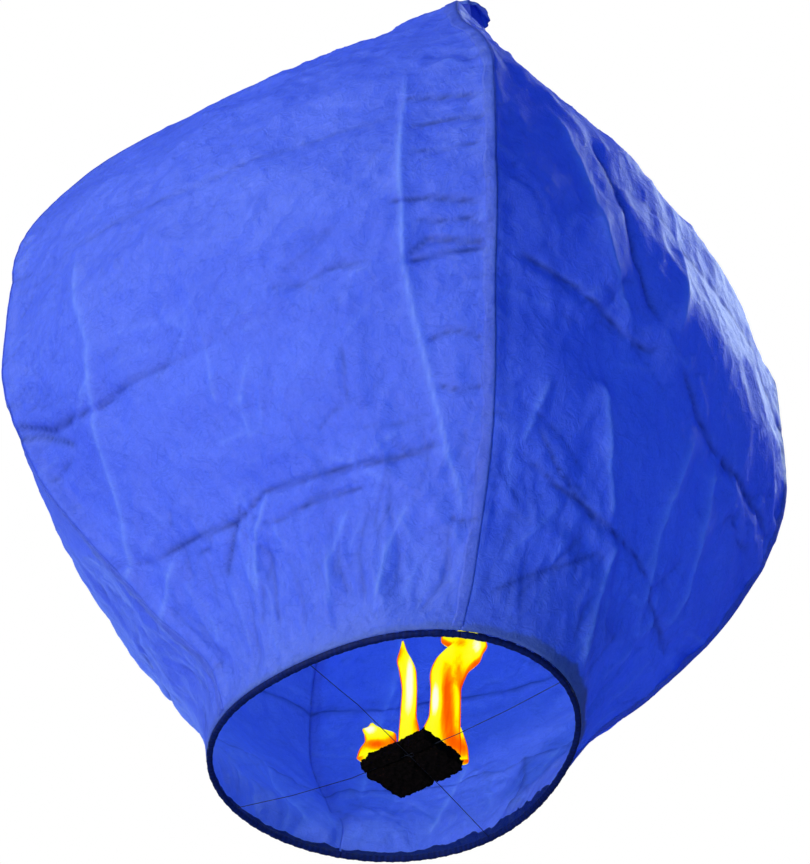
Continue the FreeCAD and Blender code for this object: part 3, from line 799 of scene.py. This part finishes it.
char = solid_material(
    "char", (0.0003, 0.0003, 0.0004), (0.0035, 0.0022, 0.0035), 260.0, (0.85, 1.0), bump=0.8,
    specks=(0.030, 0.006, 0.004), gloss=0.02,
)
fire = flame_material("fire", 1.0)


def hills(points, scale, seed):
    """Smooth random heights at points, about -1 to 1, the same each run."""
    own = np.random.default_rng(seed)
    total = np.zeros(len(points))
    for octave in range(4):
        turns = own.normal(0, 1, (9, 3)) * scale * 1.9**octave
        phases = own.uniform(0, 2 * math.pi, 9)
        total += np.sin(points @ turns.T + phases).mean(1) * 0.75**octave
    return total * 1.4


def line_gap(points, line):
    """Distance of each point from a bent line, seen from above."""
    best = np.full(len(points), 1e9)
    for (x0, y0), (x1, y1) in zip(line, line[1:]):
        d = np.array([x1 - x0, y1 - y0])
        q = points[:, :2] - np.array([x0, y0])
        share = np.clip(q @ d / (d @ d), 0, 1)
        best = np.minimum(best, np.linalg.norm(q - share[:, None] * d, axis=1))
    return best


def fuel_pad():
    """A charred block of waxed paper: ragged edges, flaking faces, grooves where the wires pass."""
    wide, long, tall = PAD_SIZE
    groove_roof, groove_half, hub_reach = 0.0082, 0.0021, 0.0082
    nx, ny, nz = 58, 74, 13
    index, points = {}, []

    def vertex(i, j, k):
        if (i, j, k) not in index:
            index[i, j, k] = len(points)
            points.append((i / nx - 0.5, j / ny - 0.5, k / nz - 0.5))
        return index[i, j, k]

    faces = []
    for i in range(nx):
        for j in range(ny):
            low = [vertex(*at, 0) for at in ((i, j), (i, j + 1), (i + 1, j + 1), (i + 1, j))]
            high = [vertex(*at, nz) for at in ((i, j), (i + 1, j), (i + 1, j + 1), (i, j + 1))]
            faces += [low, high]
    for i in range(nx):
        for k in range(nz):
            near = [vertex(a, 0, b) for a, b in ((i, k), (i + 1, k), (i + 1, k + 1), (i, k + 1))]
            far = [vertex(a, ny, b) for a, b in ((i, k), (i, k + 1), (i + 1, k + 1), (i + 1, k))]
            faces += [near, far]
    for j in range(ny):
        for k in range(nz):
            left = [vertex(0, *at) for at in ((j, k), (j, k + 1), (j + 1, k + 1), (j + 1, k))]
            right = [vertex(nx, *at) for at in ((j, k), (j + 1, k), (j + 1, k + 1), (j, k + 1))]
            faces += [left, right]
    unit = np.array(points)
    p = unit * np.array([wide, long, tall])
    side = np.maximum(np.abs(unit[:, 0]), np.abs(unit[:, 1])) > 0.499
    ragged = hills(p * [1, 1, 0.5], 150.0, 3)
    layers = np.sin(unit[:, 2] * 44) * 0.0004
    outward = np.sign(unit[:, :2]) * (np.abs(unit[:, :2]) > 0.499)
    p[:, :2] += outward * (np.where(side, ragged * 0.0024 - 0.0012, 0) + layers * side)[:, None]
    corner = smoothstep(np.abs(unit[:, 0]) + np.abs(unit[:, 1]), 0.80, 1.0)
    p[:, :2] *= (1 - 0.045 * corner * (1 + 0.8 * hills(p, 60.0, 5)))[:, None]
    flat = np.abs(unit[:, 2]) > 0.499
    flakes = hills(p, 210.0, 4) * 0.0011 + hills(p, 70.0, 6) * 0.0010
    p[:, 2] += np.where(flat, flakes, 0) - 0.0004 * np.sign(unit[:, 2]) * flat
    rim = smoothstep(np.maximum(np.abs(unit[:, 0]), np.abs(unit[:, 1])), 0.40, 0.5)
    p[:, 2] -= np.sign(unit[:, 2]) * flat * rim * (0.0012 + 0.0012 * hills(p, 160.0, 8))
    c, s = math.cos(PAD_TURN), math.sin(PAD_TURN)
    x, y = p[:, 0] * c - p[:, 1] * s, p[:, 0] * s + p[:, 1] * c
    p = np.stack([x + PAD_CENTRE[0], y + PAD_CENTRE[1], p[:, 2] + PAD_LOW + tall / 2], 1)
    low = unit[:, 2] < -0.05
    for line in WIRE_LINES:
        groove = low & (line_gap(p, line) < groove_half)
        p[:, 2] = np.where(groove, np.maximum(p[:, 2], groove_roof), p[:, 2])
    hub = np.linalg.norm(p[:, :2] - np.array(WIRE_CROSSING), axis=1) < hub_reach
    p[:, 2] = np.where(low & hub, np.maximum(p[:, 2], groove_roof), p[:, 2])
    block = mesh_object("fuel_block", p, faces)
    block.data.materials.append(char)
    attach(block, "fuel")
    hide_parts("fuel_pad")


fuel_pad()

# The flames' tongues are broad along the first direction and thin along the second.
FLAME_SIDE = Vector((0.953, -0.303, 0.0)).normalized()
FLAME_DEEP = Vector((0.303, 0.953, 0.0)).normalized()


def tongue(name, rows, deep, hot, cool):
    """One flame, closed, from rows of (height, left edge, right edge) in millimetres.

    deep is its depth as a share of its width; hot and cool are lists of (sideways, height, wide,
    tall, amount) patches of heat.
    """
    rows = np.array(rows) / 1000
    at = np.linspace(rows[0, 0], rows[-1, 0], 64)
    left = smooth_through(rows[:, 0], rows[:, 1], at)
    right = smooth_through(rows[:, 0], rows[:, 2], at)
    around = 24
    turn = np.arange(around) * 2 * math.pi / around
    side = (left + right)[:, None] / 2 + (right - left)[:, None] / 2 * np.cos(turn)
    flicker = 1 + 0.12 * np.sin(3 * turn + at[:, None] * 90)
    depth = deep * (right - left)[:, None] / 2 * np.sin(turn) * flicker
    up = at[:, None] + 0.0012 * np.sin(2 * turn + at[:, None] * 160)
    points = np.stack([
        PAD_CENTRE[0] + FLAME_SIDE.x * side + FLAME_DEEP.x * depth,
        PAD_CENTRE[1] + FLAME_SIDE.y * side + FLAME_DEEP.y * depth,
        up,
    ], -1)
    heat = np.broadcast_to(0.62 - 0.42 * smoothstep(np.abs(np.cos(turn)), 0.80, 1.0), side.shape)
    for patches, sign in ((hot, 1), (cool, -1)):
        for s, u, wide, tall, amount in patches:
            off = ((side - s / 1000) / (wide / 1000)) ** 2 + ((up - u / 1000) / (tall / 1000)) ** 2
            heat = heat + sign * amount * np.exp(-off)
    piece = closed_tube(name, points)
    point_value(piece, "warmth", heat)
    piece.data.materials.append(fire)
    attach(piece, "fuel")


tongue(
    "flame_middle",
    [(14, -19, 10), (34, -16, 8), (54, -15, 6), (75, -14, 3), (104, -13, 3), (125, -16, 2), (144, -19, -3),
     (157, -16, -9), (168, -14, -12.5)],
    0.7, [(-5, 110, 4, 40, 0.45)], [(6, 58, 6, 18, 0.35), (-18, 150, 6, 12, 0.3), (0, 20, 16, 12, 0.3)],
)
tongue(
    "flame_right",
    [(14, 4, 52), (34, 8, 51), (54, 10, 49), (75, 16, 49), (105, 17, 49), (122, 16, 54), (135, 18, 60),
     (146, 22, 69), (155, 30, 72), (162, 37, 76), (168, 27, 75), (175, 27, 72), (180, 42, 70),
     (184, 56, 64)],
    0.55, [(22, 88, 5, 22, 0.45), (64, 158, 6, 10, 0.3)],
    [(36, 60, 7, 30, 0.50), (34, 105, 6, 28, 0.42), (44, 30, 12, 16, 0.35), (47, 120, 6, 22, 0.30),
     (48, 160, 9, 8, 0.25)],
)
tongue(
    "flame_left",
    [(15, -58, -18), (26, -56, -17), (38, -50, -17), (46, -51, -18), (51, -53, -30), (56, -47, -38),
     (60, -45, -42)],
    0.5, [(-46, 50, 7, 8, 0.4)], [(-38, 28, 14, 8, 0.45), (-20, 34, 8, 10, 0.35)],
)
tongue(
    "flame_corner", [(14, 44, 58), (30, 46, 57), (45, 46, 53), (57, 47, 49)],
    0.8, [], [(52, 30, 9, 16, 0.35)],
)


# ---- CAD nodes that stay -------------------------------------------------------------------------

steel = solid_material(
    "wire_steel", (0.002, 0.003, 0.012), (0.008, 0.010, 0.030), 420.0, (0.45, 0.7), 0.3, 0.2, gloss=0.2
)
bamboo = solid_material(
    "bamboo", (0.30, 0.20, 0.09), (0.52, 0.38, 0.19), 90.0, (0.45, 0.7), bump=0.3, stretch=(1.0, 1.0, 6.0)
)
thread = solid_material("thread", (0.42, 0.38, 0.30), (0.66, 0.61, 0.50), 700.0, (0.8, 0.95), bump=0.5)
for node, material in {
    "cross_wire_a": steel, "cross_wire_b": steel, "pad_staple": steel,
    "bamboo_hoop": bamboo, "hoop_tie_1": thread, "hoop_tie_2": thread,
}.items():
    mesh = frame["nodes"][node].data
    mesh.materials.clear()
    mesh.materials.append(material)


# ---- stage ---------------------------------------------------------------------------------------


def stage_floor():
    side = 40.0
    corners = [(-side, -side, FLOOR), (side, -side, FLOOR), (side, side, FLOOR), (-side, side, FLOOR)]
    floor = mesh_object("floor", corners, [(0, 1, 2, 3)], smooth=False)
    pale = solid_material("pale_floor", (0.80, 0.80, 0.80), (0.86, 0.86, 0.86), 3.0, (0.8, 0.9), bump=0.02)
    floor.data.materials.append(pale)


def area_light(name, place, aim, side, power, colour):
    data = bpy.data.lights.new(name, "AREA")
    data.shape = "DISK"
    data.size = side
    data.energy = power
    data.color = colour
    lamp = bpy.data.objects.new(name, data)
    lamp.location = place
    lamp.rotation_mode = "QUATERNION"
    lamp.rotation_quaternion = (Vector(aim) - Vector(place)).to_track_quat("-Z", "Y")
    bpy.context.scene.collection.objects.link(lamp)
    lamp.visible_camera = False


def light_from(name, azimuth, elevation, away, side, power, colour):
    """A round studio light that far from the bag's middle; azimuth 0 is towards +X."""
    a, e = math.radians(azimuth), math.radians(elevation)
    place = (away * math.cos(e) * math.cos(a), away * math.cos(e) * math.sin(a), 0.5 + away * math.sin(e))
    area_light(name, place, (0.0, 0.0, 0.5), side, power, colour)


def glow(name, place, power, colour):
    """A small lamp inside the bag, for the light that the flame sends through the paper."""
    data = bpy.data.lights.new(name, "POINT")
    data.energy = power
    data.color = colour
    data.shadow_soft_size = 0.10
    lamp = bpy.data.objects.new(name, data)
    lamp.location = place
    bpy.context.scene.collection.objects.link(lamp)
    lamp.visible_camera = False


def world():
    """White to the camera, dim and bluish as light."""
    made = bpy.data.worlds.new("pale_world")
    made.use_nodes = True
    tree = made.node_tree
    tree.nodes.clear()
    seen = add(tree, "ShaderNodeBackground", Color=(1, 1, 1, 1), Strength=1.0)
    lit = add(tree, "ShaderNodeBackground", Color=(0.32, 0.45, 1.0, 1), Strength=0.24)
    path = tree.nodes.new("ShaderNodeLightPath")
    both = tree.nodes.new("ShaderNodeMixShader")
    tree.links.new(path.outputs["Is Camera Ray"], both.inputs[0])
    tree.links.new(lit.outputs[0], both.inputs[1])
    tree.links.new(seen.outputs[0], both.inputs[2])
    output = tree.nodes.new("ShaderNodeOutputWorld")
    tree.links.new(both.outputs[0], output.inputs["Surface"])
    bpy.context.scene.world = made


def camera():
    """From below, at the angle that the lantern is seen from in flight."""
    yaw, pitch, roll = math.radians(16.754), math.radians(39.938), math.radians(1.408)
    look = Vector((math.sin(yaw) * math.cos(pitch), math.cos(yaw) * math.cos(pitch), math.sin(pitch)))
    data = bpy.data.cameras.new("camera")
    data.lens = 189.5
    data.sensor_width = 36.0
    data.clip_start, data.clip_end = 0.05, 200.0
    seen_by = bpy.data.objects.new("camera", data)
    right = look.cross(Vector((0, 0, 1))).normalized()
    up = right.cross(look)
    turned_right = right * math.cos(roll) + up * math.sin(roll)
    turned_up = up * math.cos(roll) - right * math.sin(roll)
    basis = Matrix((turned_right, turned_up, -look)).transposed()
    seen_by.matrix_world = Matrix.Translation((-1.0907, -3.6236, -2.7394)) @ basis.to_4x4()
    bpy.context.scene.collection.objects.link(seen_by)
    bpy.context.scene.camera = seen_by


stage_floor()
world()
camera()
light_from("key", -165, 32, 4.2, 0.9, 150.0, (0.90, 1.0, 0.68))
light_from("right", 30, 45, 4.0, 1.5, 140.0, (0.68, 0.84, 0.80))
light_from("back", 100, 10, 4.0, 1.5, 45.0, (0.45, 0.75, 1.0))
light_from("fill", -95, -30, 4.5, 3.0, 42.0, (0.40, 1.0, 0.60))
area_light("mouth", (-3.2, -1.7, -1.85), (0.05, 0.03, 0.1), 0.4, 165.0, (1.0, 0.92, 0.66))
glow("glow_low", (0.0, 0.0, 0.33), 3.2, (0.72, 1.0, 0.50))
glow("glow_high", (0.0, 0.0, 0.66), 1.4, (0.3, 1.0, 0.70))
bpy.context.scene.view_settings.view_transform = "Standard"
